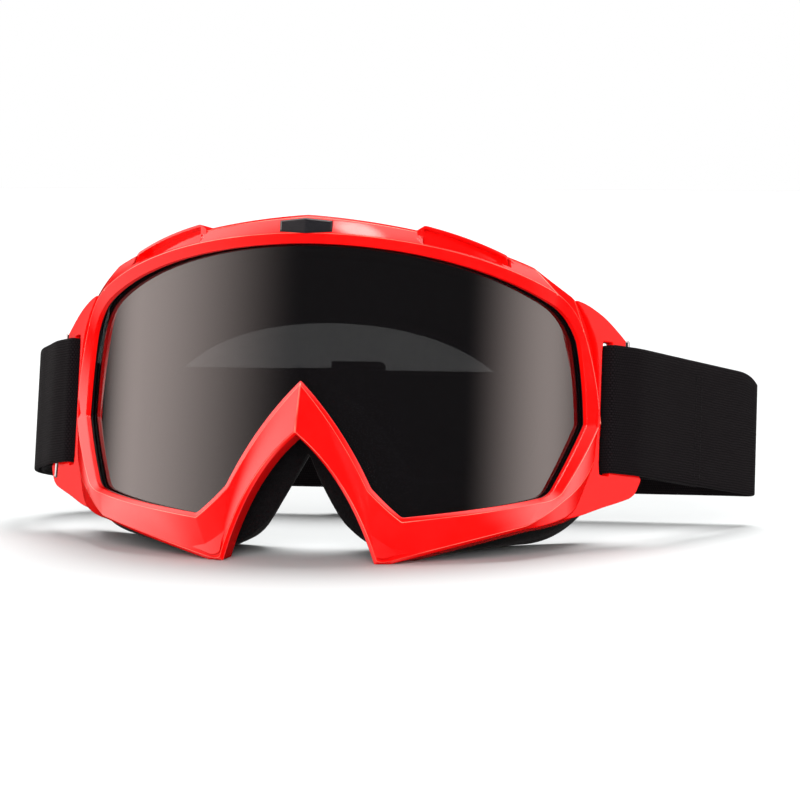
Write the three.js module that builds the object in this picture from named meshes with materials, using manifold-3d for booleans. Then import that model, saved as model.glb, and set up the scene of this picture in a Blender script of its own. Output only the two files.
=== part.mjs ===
// Motorcycle goggles standing on a table: moulded outer frame with strap arms, smoke lens in a
// gasket, black inner frame, face foam with a fleece facing, and an elastic strap with its slider.
// Millimetres, +Z up. The goggles are modelled upright around the lens, whose face follows a
// vertical cylinder, and are then leaned back onto their two frame tips and the foam's lower edge.
import * as THREE from 'three';
import { mergeVertices } from 'three/addons/utils/BufferGeometryUtils.js';
import Module from 'manifold-3d';

const wasm = await Module();
wasm.setup();

// ---- Driving dimensions -------------------------------------------------------------------
const GAP = 0.3;                 // clearance between neighbouring pieces
const WRAP_RADIUS = 92;          // cylinder that the lens opening is drawn on
const LEAN_BACK = 12;            // degrees, goggles resting on tips and foam
const TABLE = -54.9;             // height of the table under the lens, once leaned back

const LIP_THICK = 1.6;           // front lip that covers the lens edge
const WALL_THICK = 2.0;          // side wall of the outer frame
const WALL_DEPTH = 8;            // how far the side wall runs back
const LENS_THICK = 1.4;
const LENS_FRONT = -2.7;         // lens face, measured from the wrap cylinder along the normal
const LENS_MARGIN = 3.0;         // width of lens hidden behind the lip
const SEAL_MARGIN = 0.7;         // how far the gasket's inner edge stands back from the opening

const STRAP_WIDTH = 40;
const STRAP_THICK = 1.6;
const STRAP_MID_Z = -1.5;
const STRAP_BACK_Y = 120;        // straight stretch behind the head
const SEWN_LENGTH = 36;          // right end of the strap, folded back and sewn
const SLIDER_X = -7.5;

const FOAM_NOSE_Y = 40;          // face side of the foam at the middle
const FOAM_CURVE = 210;          // face side falls back by x * x / FOAM_CURVE
const FLEECE_THICK = 1.2;

// ---- Colours ------------------------------------------------------------------------------
function paint(color, roughness, metalness = 0) {
  return new THREE.MeshStandardMaterial({ color, roughness, metalness });
}
const redGloss = paint(0xe8101a, 0.18);
const smoke = paint(0x2a2628, 0.06);
const blackSoft = paint(0x121213, 0.6);
const blackFoam = paint(0x171718, 0.95);
const blackFleece = paint(0x0f0f11, 1.0);
const blackWeb = paint(0x17161a, 0.9);
const greyGloss = paint(0x3b3a40, 0.25);
const blackPlastic = paint(0x1a1a1c, 0.4);
const steel = paint(0xa9adb2, 0.3, 1);

// ---- Helpers: wrapped outlines, lofts and booleans ----------------------------------------
// A place on the goggles: u along the wrap, z up, n outwards from the wrap cylinder, b straight back.
function onWrap(u, z, n = 0, b = 0) {
  const angle = u / WRAP_RADIUS;
  const radius = WRAP_RADIUS + n;
  return new THREE.Vector3(radius * Math.sin(angle), WRAP_RADIUS - radius * Math.cos(angle) + b, z);
}

// Quadratic curve past one control point, on arrays of any length.
function bend(from, via, to, t) {
  const s = 1 - t;
  return from.map((value, i) => s * s * value + 2 * s * t * via[i] + t * t * to[i]);
}

// Right half of an outline: a first point on the middle plane, then spans of [via, to].
function halfLine(first, spans, steps) {
  const line = [first];
  let from = first;
  spans.forEach(([via, to], i) => {
    for (let k = 1; k <= steps[i]; k += 1) line.push(bend(from, via, to, k / steps[i]));
    from = to;
  });
  return line;
}

// Whole loop from its right half: down the right side, then back up the left side.
function mirrorLoop(half) {
  const left = half.slice(1, -1).reverse().map(([u, ...rest]) => [-u, ...rest]);
  return [...half, ...left];
}

const wrapLoop = (half, back = 0) => mirrorLoop(half).map(([u, z, n]) => onWrap(u, z, n, back));

// Step from one outline towards another, `distance` measured square to the first outline in the
// (u, z) drawing, at normal offset n.
function shifted(line, target, distance, n) {
  return line.map(([u, z], i) => {
    const before = line[Math.max(i - 1, 0)];
    const after = line[Math.min(i + 1, line.length - 1)];
    const along = new THREE.Vector2(after[0] - before[0], after[1] - before[1]).normalize();
    const towards = new THREE.Vector2(target[i][0] - u, target[i][1] - z).normalize();
    const step = distance / Math.max(Math.abs(towards.cross(along)), 0.35);
    return [u + towards.x * step, z + towards.y * step, n];
  });
}

// Height of the table in the upright drawing, at a distance y behind the lens.
const lean = THREE.MathUtils.degToRad(LEAN_BACK);
const tableAt = (y) => (TABLE + y * Math.sin(lean)) / Math.cos(lean);

// The same outline, lifted where it would pass through the table.
function rested(line, back) {
  return line.map(([u, z, n]) => [u, Math.max(z, tableAt(onWrap(u, z, n, back).y)), n]);
}

// Height of an outline at a given u, between its two nearest points.
function heightAt(line, u) {
  const found = line.findIndex(([next]) => next >= u);
  const i = found < 1 ? Math.max(1, found < 0 ? line.length - 1 : 1) : found;
  const [[u0, z0], [u1, z1]] = [line[i - 1], line[i]];
  return z0 + ((z1 - z0) * (u - u0)) / (u1 - u0);
}

function solidFrom(position, index) {
  const geometry = new THREE.BufferGeometry();
  geometry.setAttribute('position', new THREE.Float32BufferAttribute(position, 3));
  geometry.setIndex(index);
  return geometry;
}

// The same closed solid with its faces pointing out, judged by the sign of its volume.
function faceOut(geometry) {
  const p = geometry.getAttribute('position');
  const index = Array.from(geometry.getIndex().array);
  const corner = (i) => new THREE.Vector3().fromBufferAttribute(p, index[i]);
  let volume = 0;
  for (let i = 0; i < index.length; i += 3) {
    volume += corner(i).dot(corner(i + 1).cross(corner(i + 2))) / 6;
  }
  if (volume < 0) {
    for (let i = 0; i < index.length; i += 3) [index[i], index[i + 1]] = [index[i + 1], index[i]];
  }
  geometry.setIndex(index);
  return geometry;
}

// Closed tube through loops of equal length that follow each other round one cross-section.
function loftRings(rings) {
  const count = rings[0].length;
  const position = rings.flat().flatMap((p) => [p.x, p.y, p.z]);
  const index = [];
  rings.forEach((ring, r) => {
    const next = ((r + 1) % rings.length) * count;
    for (let i = 0; i < count; i += 1) {
      const j = (i + 1) % count;
      index.push(r * count + i, next + j, r * count + j, r * count + i, next + i, next + j);
    }
  });
  return faceOut(solidFrom(position, index));
}

// Closed bar through a row of equal cross-sections, capped at both ends.
function loftBar(sections) {
  const size = sections[0].length;
  const position = sections.flat().flatMap((p) => [p.x, p.y, p.z]);
  const index = [];
  for (let s = 0; s + 1 < sections.length; s += 1) {
    for (let i = 0; i < size; i += 1) {
      const j = (i + 1) % size;
      const [a, b] = [s * size + i, s * size + j];
      index.push(a, b, b + size, a, b + size, a + size);
    }
  }
  const last = (sections.length - 1) * size;
  for (let i = 1; i + 1 < size; i += 1) index.push(0, i + 1, i, last, last + i, last + i + 1);
  return faceOut(solidFrom(position, index));
}

function boxBetween([x0, y0, z0], [x1, y1, z1]) {
  const box = new THREE.BoxGeometry(x1 - x0, y1 - y0, z1 - z0);
  return box.translate((x0 + x1) / 2, (y0 + y1) / 2, (z0 + z1) / 2);
}

function bare(geometry) {
  const copy = geometry.clone();
  copy.deleteAttribute('normal');
  copy.deleteAttribute('uv');
  return mergeVertices(copy, 1e-4);
}

function mirrored(geometry) {
  return faceOut(bare(geometry).scale(-1, 1, 1));
}

function toManifold(geometry) {
  const merged = bare(geometry);
  return new wasm.Manifold(new wasm.Mesh({
    numProp: 3,
    vertProperties: new Float32Array(merged.getAttribute('position').array),
    triVerts: new Uint32Array(merged.getIndex().array),
  }));
}

function fromManifold(solid) {
  const mesh = solid.getMesh();
  return solidFrom(Array.from(mesh.vertProperties), Array.from(mesh.triVerts));
}

// ---- Outlines of the outer frame, right half, as [u, z, n] --------------------------------
// Spans run: brow, brow corner, temple, cheek, lower corner, bottom, frame tip, nose arm.
const STEPS = [7, 2, 4, 4, 2, 5, 2, 5];

const openingEdge = halfLine([0, 40.9, 0], [
  [[44, 40.6, 0], [81, 27.9, 0]],
  [[88.5, 25, 0], [92.8, 17.9, 0]],
  [[96.5, 7, 0], [97.6, -6.9, 0]],
  [[91.5, -16.5, 0], [83.5, -28, 0]],
  [[81.5, -30.8, 0], [77.5, -31.6, 0]],
  [[60, -36.2, 0], [32, -40.6, 0.5]],
  [[27.5, -37.2, 0], [22.5, -32.2, 0]],
  [[13.3, -14, 0], [0, -0.6, 0]],
], STEPS);

const innerCrest = halfLine([0, 43.5, 1.6], [
  [[44, 43.2, 1.6], [80.5, 31.2, 1.7]],
  [[88, 28, 1.9], [92, 21.5, 2]],
  [[98.5, 9, 2.4], [101.4, -6, 2.4]],
  [[94, -18, 2.2], [85.4, -29.4, 1.4]],
  [[82.5, -32.2, 1], [77.3, -33, 0.8]],
  [[59.5, -37.6, 0.8], [31.9, -42, 0.9]],
  [[26.6, -38.4, 0.9], [21.2, -33, 0.8]],
  [[12.3, -15.6, 0.7], [0, -1.9, 0.6]],
], STEPS);

const outerCrest = halfLine([0, 48.5, 0.9], [
  [[38, 46.2, 0.9], [72.4, 37.2, 0.9]],
  [[81, 34.2, 0.9], [89.2, 31.2, 0.6]],
  [[99.5, 20, 1.2], [103, -6.2, 1.5]],
  [[101, -22, 2.4], [86, -31.6, 1.7]],
  [[79, -36.5, 2], [71.5, -40.4, 2.9]],
  [[50.8, -46.8, 1.2], [28.6, -53.6, -2.9]],
  [[26.6, -54.3, -3.2], [25.2, -53.4, -2.9]],
  [[15.8, -29.6, 1.5], [0, -16.6, 4.9]],
], STEPS);

const outerEdge = halfLine([0, 49.3, -1], [
  [[38, 47, -1], [72.8, 38.1, -1]],
  [[81.6, 35.1, -1], [90.2, 32, -1.2]],
  [[101, 20, -0.6], [103.6, -6.4, 0.2]],
  [[102.5, -29, 0.4], [87.5, -36.8, 1]],
  [[80, -39.9, 1.2], [71.5, -41.4, 1.4]],
  [[50.8, -47.8, -0.2], [28.4, -54.7, -4.2]],
  [[26.2, -55.4, -4.4], [24.4, -54.4, -4.2]],
  [[14.7, -29.8, 0.2], [0, -17.4, 3.4]],
], STEPS);

// ---- Strap arms and their steel pins ------------------------------------------------------
// Each arm is a flat plate that flares out from the temple. Plate drawing: w along it, z up.
const ARM = { from: [80, 43], to: [97, 63], face: -0.8, thick: 3.2 };
const SLOT = { inner: 7.4, outer: 11.8, low: -22.2, high: 19.2 };
const PIN = { low: [21.2, -26], high: [17.6, 20.6], radius: 0.9, sunk: 0.3 };

// The side wall is cut back beside the slot, where the strap comes through.
const STRAP_RELIEF = { x: 82.2, y: 52.6 };

const armAlong = new THREE.Vector3(ARM.to[0] - ARM.from[0], ARM.to[1] - ARM.from[1], 0).normalize();
const armOut = new THREE.Vector3(armAlong.y, -armAlong.x, 0);
const armFrame = new THREE.Matrix4()
  .makeBasis(armAlong, new THREE.Vector3(0, 0, 1), armOut)
  .setPosition(ARM.from[0], ARM.from[1], 0);
const toPoints = (list) => list.map(([x, y]) => new THREE.Vector2(x, y));

function strapArm() {
  const outline = new THREE.Shape(toPoints([
    [-5, 31], [0.7, 30], [7.1, 27.4], [11.4, 24.8], [17, 20.7], [19.6, 18.2],
    [20.3, 8], [21.3, -8], [22.6, -19], [25, -21.6], [25.4, -22.6], [22.6, -27.9],
    [15.9, -30.3], [9.2, -32.4], [-0.6, -36], [-9, -37.8], [-9.5, -34], [-2.5, -29], [4.5, -22],
    [6, -8], [6, 8], [4.8, 19], [-0.5, 27],
  ]));
  outline.holes.push(new THREE.Path(toPoints([
    [SLOT.inner, SLOT.low], [SLOT.outer, SLOT.low], [SLOT.outer, SLOT.high], [SLOT.inner, SLOT.high],
  ])));
  const plate = new THREE.ExtrudeGeometry(outline, { depth: ARM.thick, bevelEnabled: false });
  plate.translate(0, 0, ARM.face - ARM.thick);
  return plate.applyMatrix4(armFrame);
}

// Steel pin along the arm's outer edge, lying half proud of its face.
function armPin(radius, extra) {
  const from = new THREE.Vector3(PIN.low[0], PIN.low[1] - extra, ARM.face - PIN.sunk);
  const to = new THREE.Vector3(PIN.high[0], PIN.high[1] + extra, ARM.face - PIN.sunk);
  const axis = new THREE.Vector3().subVectors(to, from);
  const turn = new THREE.Quaternion()
    .setFromUnitVectors(new THREE.Vector3(0, 1, 0), axis.clone().normalize());
  const pin = new THREE.CylinderGeometry(radius, radius, axis.length(), 10);
  pin.applyQuaternion(turn);
  pin.translate(...from.add(to).multiplyScalar(0.5).toArray());
  return pin.applyMatrix4(armFrame);
}

// ---- Brow scoops and their filter strips --------------------------------------------------
// A wall raised behind the brow, with a pocket in its face, a slot at the pocket's foot, and
// behind the slot a chamber that holds the filter strip and is open to the inside.
const SCOOP = { from: 32.5, to: 65, back: -8, front: -3.6, pocket: 0.9, rim: 1, steps: 8 };
const CHAMBER = { from: 37, to: 60, back: -7, front: -5, low: 1.6, high: 1.3 };

const browLine = outerEdge.slice(0, STEPS[0] + 1);
const wallTop = (u, n = 0) => heightAt(browLine, u * (1 + n / WRAP_RADIUS));
const scoopTop = (u) => bend([48.3], [46.2], [40.9], (u - SCOOP.from) / (SCOOP.to - SCOOP.from))[0];

// Bar along the wrap whose lower and upper edges are functions of u and n.
function wrapBar([from, to], low, high, nBack, nFront) {
  const sections = [];
  for (let k = 0; k <= SCOOP.steps; k += 1) {
    const u = from + ((to - from) * k) / SCOOP.steps;
    const at = (edge, n) => onWrap(u, edge(u, n), n);
    sections.push([at(low, nBack), at(low, nFront), at(high, nFront), at(high, nBack)]);
  }
  return loftBar(sections);
}

function browScoop() {
  const foot = (u, n) => wallTop(u, n) - 1.5;
  const block = wrapBar([SCOOP.from, SCOOP.to], foot, scoopTop, SCOOP.back, SCOOP.front);
  const pocket = wrapBar(
    [SCOOP.from + SCOOP.rim, SCOOP.to - SCOOP.rim],
    (u) => wallTop(u) + 0.1,
    (u) => Math.max(scoopTop(u) - SCOOP.rim, wallTop(u) + 0.4),
    SCOOP.front - SCOOP.pocket,
    SCOOP.front + 1,
  );
  return fromManifold(toManifold(block).subtract(toManifold(pocket)));
}

function ventDuct() {
  const span = [CHAMBER.from, CHAMBER.to];
  const ceiling = (u) => Math.min(wallTop(u) + CHAMBER.high, scoopTop(u) - SCOOP.rim);
  const chamber = wrapBar(span, (u, n) => wallTop(u, n) - 3, ceiling, CHAMBER.back, CHAMBER.front);
  const slot = wrapBar(
    span,
    (u) => wallTop(u) + 0.2,
    (u) => ceiling(u) - 0.1,
    CHAMBER.front - 0.5,
    SCOOP.front + 1,
  );
  return fromManifold(toManifold(chamber).add(toManifold(slot)));
}

function ventFoam() {
  return wrapBar(
    [CHAMBER.from + GAP, CHAMBER.to - GAP],
    (u, n) => wallTop(u, n) - CHAMBER.low,
    (u) => Math.min(wallTop(u) + CHAMBER.high, scoopTop(u) - SCOOP.rim) - GAP,
    CHAMBER.back + GAP,
    CHAMBER.front - GAP,
  );
}

// ---- Brow badge: a long hexagon with a ridge down its middle ------------------------------
const BADGE = { half: 8, endLow: 44.4, endHigh: 47.8, midLow: 43.9, midHigh: 48.3, seat: -0.5 };
const BADGE_FACE = -1.9;
const BADGE_RIDGE = 0.8;

function badgeBody(grow, faceY, ridge) {
  const section = (x, low, high, proud) => [
    new THREE.Vector3(x, faceY - proud, low - grow),
    new THREE.Vector3(x, faceY - proud, high + grow),
    new THREE.Vector3(x, BADGE.seat + grow, high + grow),
    new THREE.Vector3(x, BADGE.seat + grow, low - grow),
  ];
  const end = BADGE.half + grow;
  return loftBar([
    section(-end, BADGE.endLow, BADGE.endHigh, 0),
    section(0, BADGE.midLow, BADGE.midHigh, ridge),
    section(end, BADGE.endLow, BADGE.endHigh, 0),
  ]);
}

// ---- Outer frame --------------------------------------------------------------------------
const wallRear = rested(outerEdge, WALL_DEPTH);

function outerFrame() {
  const innerWall = shifted(wallRear, openingEdge, WALL_THICK, 0)
    .map(([u, z], i) => [u, z, outerEdge[i][2]]);
  const behindLip = shifted(outerEdge, openingEdge, WALL_THICK, -LIP_THICK);
  const lipBack = openingEdge.map(([u, z]) => [u, z, -LIP_THICK]);
  const ring = loftRings([
    wrapLoop(openingEdge),
    wrapLoop(innerCrest),
    wrapLoop(outerCrest),
    wrapLoop(rested(outerEdge, 0)),
    wrapLoop(wallRear, WALL_DEPTH),
    wrapLoop(innerWall, WALL_DEPTH),
    wrapLoop(behindLip),
    wrapLoop(lipBack),
  ]);
  const arm = strapArm();
  const scoop = browScoop();
  const duct = ventDuct();
  const groove = armPin(PIN.radius + GAP, GAP);
  const relief = boxBetween([STRAP_RELIEF.x, STRAP_RELIEF.y, SLOT.low], [95, 65, SLOT.high]);
  const wall = toManifold(ring).subtract(toManifold(relief)).subtract(toManifold(mirrored(relief)));
  const joined = [arm, mirrored(arm), scoop, mirrored(scoop)]
    .reduce((solid, solidPiece) => solid.add(toManifold(solidPiece)), wall);
  const cut = [duct, mirrored(duct), groove, mirrored(groove), badgeBody(GAP, -4, 0)]
    .reduce((solid, cutter) => solid.subtract(toManifold(cutter)), joined);
  return fromManifold(cut);
}

// ---- Lens, gasket and inner frame ---------------------------------------------------------
// Lens: upright strips between the lower and upper edges of its outline, bent to the wrap.
function lensGeometry() {
  const edge = shifted(openingEdge, outerEdge, LENS_MARGIN, 0);
  const corner = edge.reduce((best, [u], i) => (u > edge[best][0] ? i : best), 0);
  const top = edge.slice(0, corner + 1);
  const bottom = edge.slice(corner).reverse();
  const reach = edge[corner][0] - 0.5;
  const places = [...top, ...bottom].map(([u]) => Math.min(u, reach)).sort((a, b) => a - b);
  const right = places.filter((u, i) => i === 0 || u - places[i - 1] > 0.4);
  const stations = [...right.slice(1).reverse().map((u) => -u), ...right];
  const back = LENS_FRONT - LENS_THICK;
  return loftBar(stations.map((u) => {
    const [low, high] = [heightAt(bottom, Math.abs(u)), heightAt(top, Math.abs(u))];
    return [onWrap(u, low, back), onWrap(u, low, LENS_FRONT), onWrap(u, high, LENS_FRONT), onWrap(u, high, back)];
  }));
}

function gasketGeometry() {
  const outer = shifted(openingEdge, outerEdge, LENS_MARGIN + 0.2, 0);
  const inner = shifted(openingEdge, outerEdge, SEAL_MARGIN, 0);
  const at = (line, n) => wrapLoop(line.map(([u, z]) => [u, z, n]));
  const [front, back] = [-LIP_THICK - GAP - 0.05, LENS_FRONT + GAP];
  return loftRings([at(outer, front), at(outer, back), at(inner, back), at(inner, front)]);
}

// Soft inner frame: holds the lens from behind and carries the foam on its rear flange.
const INNER = { clear: 3.4, front: -4.4, back: -1, reach: 11.7, flange: -3, flangeThick: 1.5 };

const flangeInner = shifted(openingEdge, outerEdge, INNER.flange, INNER.back);
const flangeOuter = shifted(wallRear, openingEdge, INNER.clear, INNER.back);

function innerFrameGeometry() {
  const front = INNER.reach - INNER.flangeThick;
  return loftRings([
    wrapLoop(shifted(openingEdge, outerEdge, SEAL_MARGIN, INNER.front)),
    wrapLoop(shifted(openingEdge, outerEdge, 0.4, INNER.back), front),
    wrapLoop(flangeInner, front),
    wrapLoop(flangeInner, INNER.reach),
    wrapLoop(flangeOuter, INNER.reach),
    wrapLoop(shifted(outerEdge, openingEdge, INNER.clear, INNER.front)),
  ]);
}

// ---- Face foam and its fleece facing ------------------------------------------------------
const foamFrontOuter = halfLine([0, 48.3, -1], [
  [[38, 46, -1], [72, 37, -1]],
  [[81, 34, -1], [89, 31, -1]],
  [[100, 20, -1], [103.5, -6, -1]],
  [[99, -25, -1], [87, -38, -1]],
  [[80, -41.5, -1], [71, -43.5, -1]],
  [[50, -49, -1], [30, -51.5, -1]],
  [[19, -50, -1], [11, -41, -1]],
  [[4.5, -32.1, -1], [0, -20.8, -1]],
], STEPS);

const foamFaceOuter = halfLine([0, 46], [
  [[40, 45], [64, 36]],
  [[76, 30], [81, 20]],
  [[86, 8], [86, -6]],
  [[85, -24], [76, -34]],
  [[71, -41], [63, -43.5]],
  [[47, -45.8], [30, -46.6]],
  [[23, -47], [18, -42]],
  [[9, -26], [0, -10]],
], STEPS);

const foamFaceInner = halfLine([0, 22.5], [
  [[26, 22.5], [42, 14.5]],
  [[50, 10.5], [55, 5]],
  [[61, -2], [62, -9]],
  [[62, -15], [57, -19.5]],
  [[53, -22.5], [47, -24]],
  [[40, -25.8], [33, -25.8]],
  [[28, -25.8], [25, -22]],
  [[16, -6], [0, 4]],
], STEPS);

// Loop on the face side, brought forward, with its lower edge lying on the table.
const faceLoop = (half, forward) => mirrorLoop(half).map(([x, z]) => {
  const y = FOAM_NOSE_Y + (x * x) / FOAM_CURVE - forward;
  return new THREE.Vector3(x, y, Math.max(z, tableAt(y)));
});

function faceFoamGeometry() {
  const front = INNER.reach + GAP;
  return loftRings([
    wrapLoop(flangeOuter, front),
    wrapLoop(foamFrontOuter, front + 1),
    faceLoop(foamFaceOuter, FLEECE_THICK + GAP),
    faceLoop(foamFaceInner, FLEECE_THICK + GAP),
    wrapLoop(flangeInner, front),
  ]);
}

function faceFleeceGeometry() {
  return loftRings([
    faceLoop(foamFaceOuter, FLEECE_THICK),
    faceLoop(foamFaceInner, FLEECE_THICK),
    faceLoop(foamFaceInner, 0),
    faceLoop(foamFaceOuter, 0),
  ]);
}

// ---- Strap --------------------------------------------------------------------------------
// Plan position on the right arm: w along its plate, m out of its face.
const onArm = (w, m) => [
  ARM.from[0] + armAlong.x * w + armOut.x * m,
  ARM.from[1] + armAlong.y * w + armOut.y * m,
];
const flipX = ([x, y]) => [-x, y];
const LAYER = STRAP_THICK + GAP;
const STRAP_INNER_Y = STRAP_BACK_Y - LAYER;
const RETURN_START_X = -76;      // where the straight return layer begins, towards the slider

// Ribbon standing on edge: a centre line in plan, the strap's thickness, and its width upwards.
function ribbon(points, stepsEach) {
  const path = points.map(([x, y]) => new THREE.Vector3(x, y, 0));
  const curve = new THREE.CatmullRomCurve3(path, false, 'centripetal');
  const count = (points.length - 1) * stepsEach;
  const left = [];
  const right = [];
  for (let k = 0; k <= count; k += 1) {
    const p = curve.getPoint(k / count);
    const t = curve.getTangent(k / count).multiplyScalar(STRAP_THICK / 2);
    left.push(new THREE.Vector2(p.x - t.y, p.y + t.x));
    right.push(new THREE.Vector2(p.x + t.y, p.y - t.x));
  }
  const shape = new THREE.Shape([...right, ...left.reverse()]);
  const solid = new THREE.ExtrudeGeometry(shape, { depth: STRAP_WIDTH, bevelEnabled: false });
  return solid.translate(0, 0, STRAP_MID_Z - STRAP_WIDTH / 2);
}

// Centre line of a strap that turns half round a straight bar: quarter turns at the two corners
// of the bar's side, from the first face round to the second.
const TURN = STRAP_THICK / 2 + GAP + 0.05;
function roundBar(place, side, [first, second], sign) {
  const diagonal = TURN * Math.SQRT1_2;
  const step = Math.sign(second - first);
  return [
    place(side, first - step * TURN),
    place(side + sign * diagonal, first - step * diagonal),
    place(side + sign * TURN, first),
    place(side + sign * TURN, second),
    place(side + sign * diagonal, second + step * diagonal),
    place(side, second + step * TURN),
  ];
}

// In through the slot behind the arm's post, and out over its front and its pin.
const aroundPost = [
  onArm(26.5, -5), onArm(19, -5.2),
  ...roundBar(onArm, SLOT.outer, [ARM.face - ARM.thick, ARM.face], -1),
  onArm(14, 0.6), onArm(17.5, 0.95), onArm(21.5, 0.95),
];
const postEnd = aroundPost[aroundPost.length - 1];
const rightFold = [124.8, 114.6];
const away = new THREE.Vector2(rightFold[0] - postEnd[0], rightFold[1] - postEnd[1]).normalize();
const beside = (distance, layer) => [
  postEnd[0] + away.x * distance - away.y * layer,
  postEnd[1] + away.y * distance + away.x * layer,
];

const strapRoute = [
  beside(SEWN_LENGTH, LAYER), beside(SEWN_LENGTH / 2, LAYER), beside(12, LAYER + 0.3),
  ...aroundPost,
  beside(SEWN_LENGTH / 2, 0), beside(SEWN_LENGTH, 0), beside(SEWN_LENGTH + 12, 0), rightFold,
  [126.3, 118], [124.6, 120.2], [120, STRAP_BACK_Y], [80, STRAP_BACK_Y], [20, STRAP_BACK_Y],
  [-40, STRAP_BACK_Y], [-78, STRAP_BACK_Y],
  [-92, 117.5], [-104, 107.5], [-109, 92], [-105.5, 78], [-100, 68],
  ...[...aroundPost].reverse().map(flipX),
  [-97.3, 68], [-103.5, 79], [-106.9, 92], [-102.4, 106], [-91, 115.6],
  [RETURN_START_X - 3, STRAP_INNER_Y], [RETURN_START_X, STRAP_INNER_Y],
];

// ---- Strap slider: end bars outside the strap, a middle bar inside it, joined by two rails --
const SLIDER = {
  half: 8.5, bar: 2.5, middle: 3.2, thick: 2.2, rail: 1.9, loopReach: 22,
  outerY: STRAP_BACK_Y + STRAP_THICK / 2 + GAP,
  innerY: STRAP_INNER_Y - STRAP_THICK / 2 - GAP,
};

function sliderGeometry() {
  const bottom = STRAP_MID_Z - STRAP_WIDTH / 2 - GAP;
  const top = STRAP_MID_Z + STRAP_WIDTH / 2 + GAP;
  const [low, high] = [bottom - SLIDER.rail, top + SLIDER.rail];
  const rearY = SLIDER.outerY + SLIDER.thick;
  const frontY = SLIDER.innerY - SLIDER.thick;
  const rails = [[low, bottom], [top, high]]
    .map(([z0, z1]) => boxBetween([-SLIDER.half, frontY, z0], [SLIDER.half, rearY, z1]));
  const ends = [-SLIDER.half, SLIDER.half - SLIDER.bar]
    .map((x) => boxBetween([x, SLIDER.outerY, low], [x + SLIDER.bar, rearY, high]));
  const middle = boxBetween([-SLIDER.middle / 2, frontY, low], [SLIDER.middle / 2, SLIDER.innerY, high]);
  const solid = [...rails, ...ends, middle].map(toManifold).reduce((a, b) => a.add(b));
  return fromManifold(solid).translate(SLIDER_X, 0, 0);
}

// The strap's far end, sewn round the slider's middle bar.
function endLoopPoints() {
  const plan = (x, y) => [x, y];
  const rear = SLIDER_X - SLIDER.loopReach;
  return [
    [rear, STRAP_INNER_Y], [SLIDER_X - 10, STRAP_INNER_Y], [SLIDER_X - 2, STRAP_INNER_Y],
    ...roundBar(plan, SLIDER_X + SLIDER.middle / 2, [SLIDER.innerY, SLIDER.innerY - SLIDER.thick], 1),
    [SLIDER_X - 3, SLIDER.innerY - SLIDER.thick - TURN],
    [SLIDER_X - 13, STRAP_INNER_Y - LAYER - 0.1], [rear, STRAP_INNER_Y - LAYER - 0.1],
  ];
}

// ---- Assembly -----------------------------------------------------------------------------
const group = new THREE.Group();
const goggles = new THREE.Group();
group.add(goggles);

function piece(name, geometry, material) {
  const mesh = new THREE.Mesh(faceOut(bare(geometry)), material);
  mesh.name = name;
  goggles.add(mesh);
}

const pin = armPin(PIN.radius, 0);
const filter = ventFoam();
piece('outer_frame', outerFrame(), redGloss);
piece('inner_frame', innerFrameGeometry(), blackSoft);
piece('lens', lensGeometry(), smoke);
piece('lens_gasket', gasketGeometry(), blackSoft);
piece('brow_badge', badgeBody(0, BADGE_FACE, BADGE_RIDGE), greyGloss);
piece('brow_vent_filter_right', filter, blackFoam);
piece('brow_vent_filter_left', mirrored(filter), blackFoam);
piece('strap_pin_right', pin, steel);
piece('strap_pin_left', mirrored(pin), steel);
piece('face_foam', faceFoamGeometry(), blackFoam);
piece('face_fleece', faceFleeceGeometry(), blackFleece);
piece('strap_band', ribbon(strapRoute, 3), blackWeb);
piece('strap_return', ribbon([
  [RETURN_START_X + GAP, STRAP_INNER_Y], [SLIDER_X - SLIDER.loopReach - GAP, STRAP_INNER_Y],
], 1), blackWeb);
piece('strap_end_loop', ribbon(endLoopPoints(), 2), blackWeb);
piece('strap_slider', sliderGeometry(), blackPlastic);

goggles.rotation.x = THREE.MathUtils.degToRad(-LEAN_BACK);
group.updateMatrixWorld(true);
const reach = new THREE.Box3().setFromObject(group, true);
goggles.position.set(-(reach.min.x + reach.max.x) / 2, -(reach.min.y + reach.max.y) / 2, -reach.min.z);

export default group;
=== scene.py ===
# Motorcycle goggles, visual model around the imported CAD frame.
# The outlines are those of the CAD model with small corrections at the brow, drawn finer, in
# millimetres in the goggles' own upright drawing: X right, Y back from the lens, Z up, and the lens
# on a vertical cylinder.
import math

import bpy
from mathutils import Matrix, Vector


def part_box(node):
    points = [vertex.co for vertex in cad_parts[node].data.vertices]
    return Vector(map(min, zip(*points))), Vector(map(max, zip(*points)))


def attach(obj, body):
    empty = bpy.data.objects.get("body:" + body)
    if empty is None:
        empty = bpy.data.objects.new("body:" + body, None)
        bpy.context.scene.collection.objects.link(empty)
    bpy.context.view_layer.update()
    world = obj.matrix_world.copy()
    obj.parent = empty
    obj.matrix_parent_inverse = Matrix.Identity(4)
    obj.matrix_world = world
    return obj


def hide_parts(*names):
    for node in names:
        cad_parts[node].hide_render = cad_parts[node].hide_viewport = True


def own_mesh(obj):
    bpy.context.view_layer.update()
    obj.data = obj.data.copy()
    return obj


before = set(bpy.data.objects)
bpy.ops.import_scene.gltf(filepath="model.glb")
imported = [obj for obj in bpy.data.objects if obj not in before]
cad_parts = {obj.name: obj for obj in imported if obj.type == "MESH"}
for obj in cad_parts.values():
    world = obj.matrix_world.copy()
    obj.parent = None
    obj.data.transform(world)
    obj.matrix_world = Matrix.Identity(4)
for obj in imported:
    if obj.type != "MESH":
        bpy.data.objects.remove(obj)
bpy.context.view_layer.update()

# ---- Placing ------------------------------------------------------------------------------
MM = 0.001
WRAP_RADIUS = 92.0
LEAN = math.radians(12)
TABLE = -54.9
COS_L, SIN_L = math.cos(LEAN), math.sin(LEAN)
NOSE_CREST = (-4.9, -16.6)          # y and z of the frame's foremost point, in the upright drawing

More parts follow.
